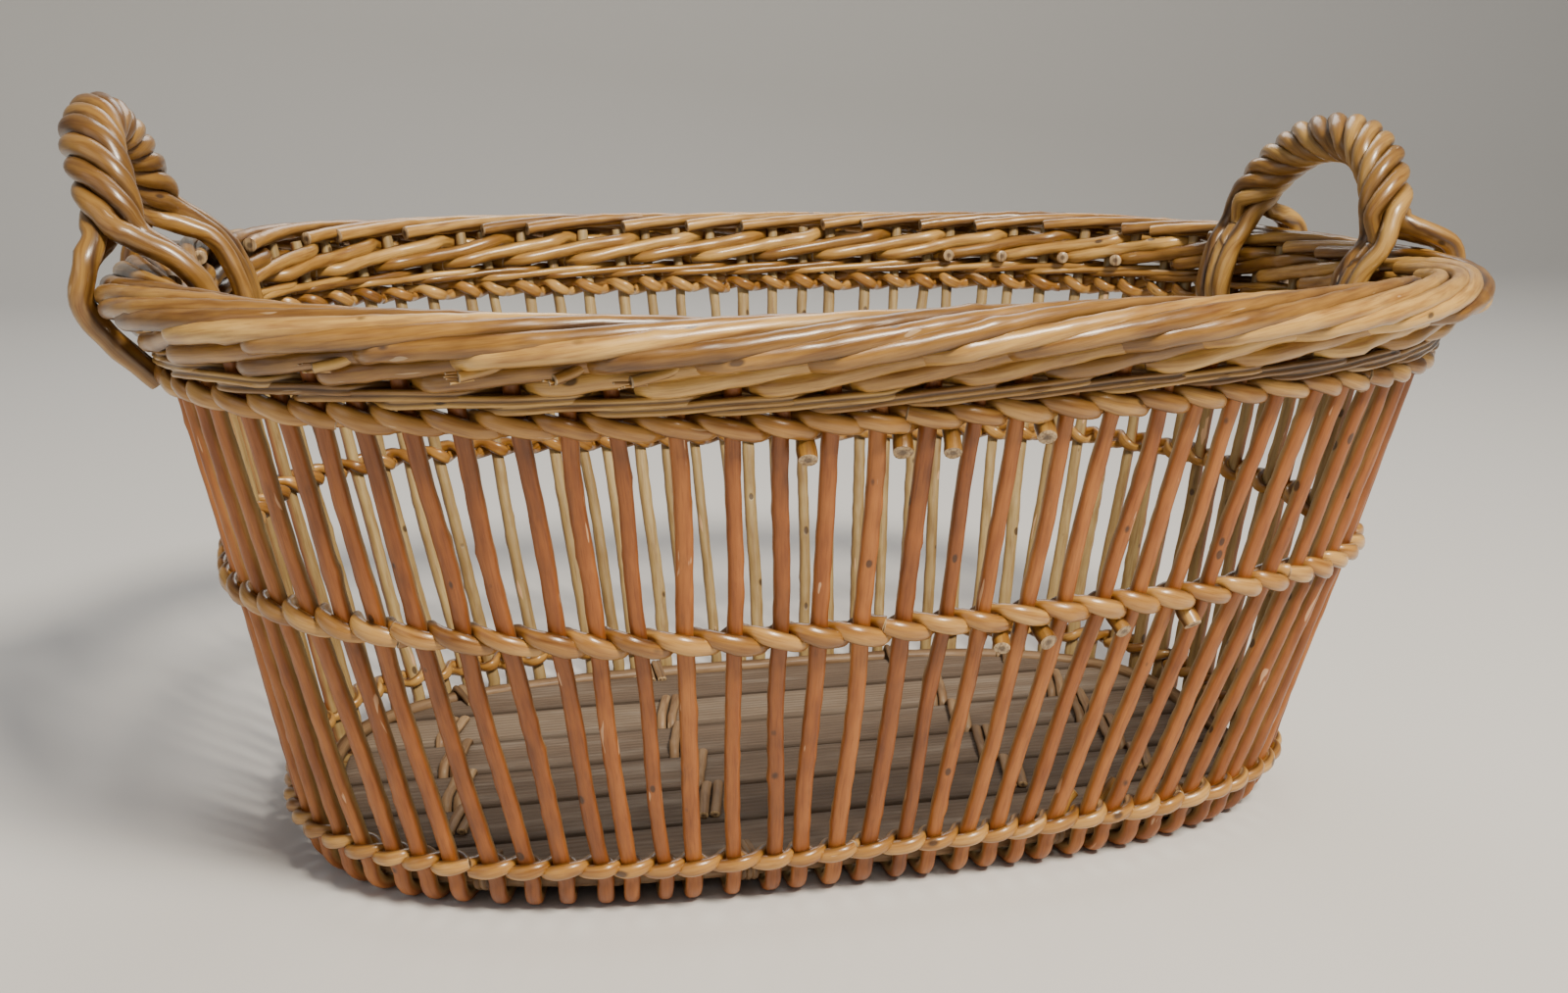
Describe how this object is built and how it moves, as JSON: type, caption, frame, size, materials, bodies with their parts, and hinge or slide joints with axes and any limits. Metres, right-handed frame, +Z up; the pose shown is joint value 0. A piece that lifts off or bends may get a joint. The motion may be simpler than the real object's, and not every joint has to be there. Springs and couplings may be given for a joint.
{
  "type": "wicker basket",
  "caption": "Oval open-sided willow basket with flared stake walls, woven bands, rolled border, two rope-twisted end handles and a slatted wooden base.",
  "frame": {"origin": "on the floor under the middle of the oval", "axes": "+X along the basket's long way from handle to handle, +Y across it, +Z up"},
  "size_m": [0.7693, 0.5714, 0.4115],
  "materials": {
    "stake_willow": "varnished willow rod, satin",
    "woven_willow": "varnished willow rod, satin",
    "border_willow": "varnished willow rod, satin",
    "handle_willow": "varnished willow rod, worn glossy",
    "base_willow": "dry willow, matt",
    "board_wood": "weathered softwood, matt"
  },
  "bodies": {
    "root": {"base_hoop": "base_willow", "base_lashings": "base_willow", "base_weave_1": "base_willow", "base_weave_2": "base_willow", "base_weave_3": "base_willow", "base_weave_4": "base_willow", "board_1": "board_wood", "board_2": "board_wood", "board_3": "board_wood", "board_4": "board_wood", "board_5": "board_wood", "board_6": "board_wood", "border_1": "border_willow", "border_2": "border_willow", "border_3": "border_willow", "border_4": "border_willow", "border_5": "border_willow", "border_6": "border_willow", "border_7": "border_willow", "border_8": "border_willow", "handle_left": "handle_willow", "handle_right": "handle_willow", "low_band_1": "woven_willow", "low_band_2": "woven_willow", "low_band_3": "woven_willow", "low_band_4": "woven_willow", "mid_band_1": "woven_willow", "mid_band_2": "woven_willow", "mid_band_3": "woven_willow", "mid_band_4": "woven_willow", "mid_band_butts": "woven_willow", "stakes_1": "stake_willow", "stakes_2": "stake_willow", "stakes_3": "stake_willow", "stakes_4": "stake_willow", "stakes_5": "stake_willow", "stakes_6": "stake_willow", "stakes_7": "stake_willow", "stakes_8": "stake_willow", "thick_row_1": "border_willow", "thick_row_2": "border_willow", "thick_row_3": "border_willow", "thick_row_4": "border_willow", "thin_row_1": "woven_willow", "thin_row_2": "woven_willow", "thin_row_3": "woven_willow", "thin_row_4": "woven_willow", "top_band_1": "woven_willow", "top_band_2": "woven_willow", "top_band_3": "woven_willow", "top_band_4": "woven_willow", "top_band_butts": "woven_willow"}
  },
  "joints": []
}
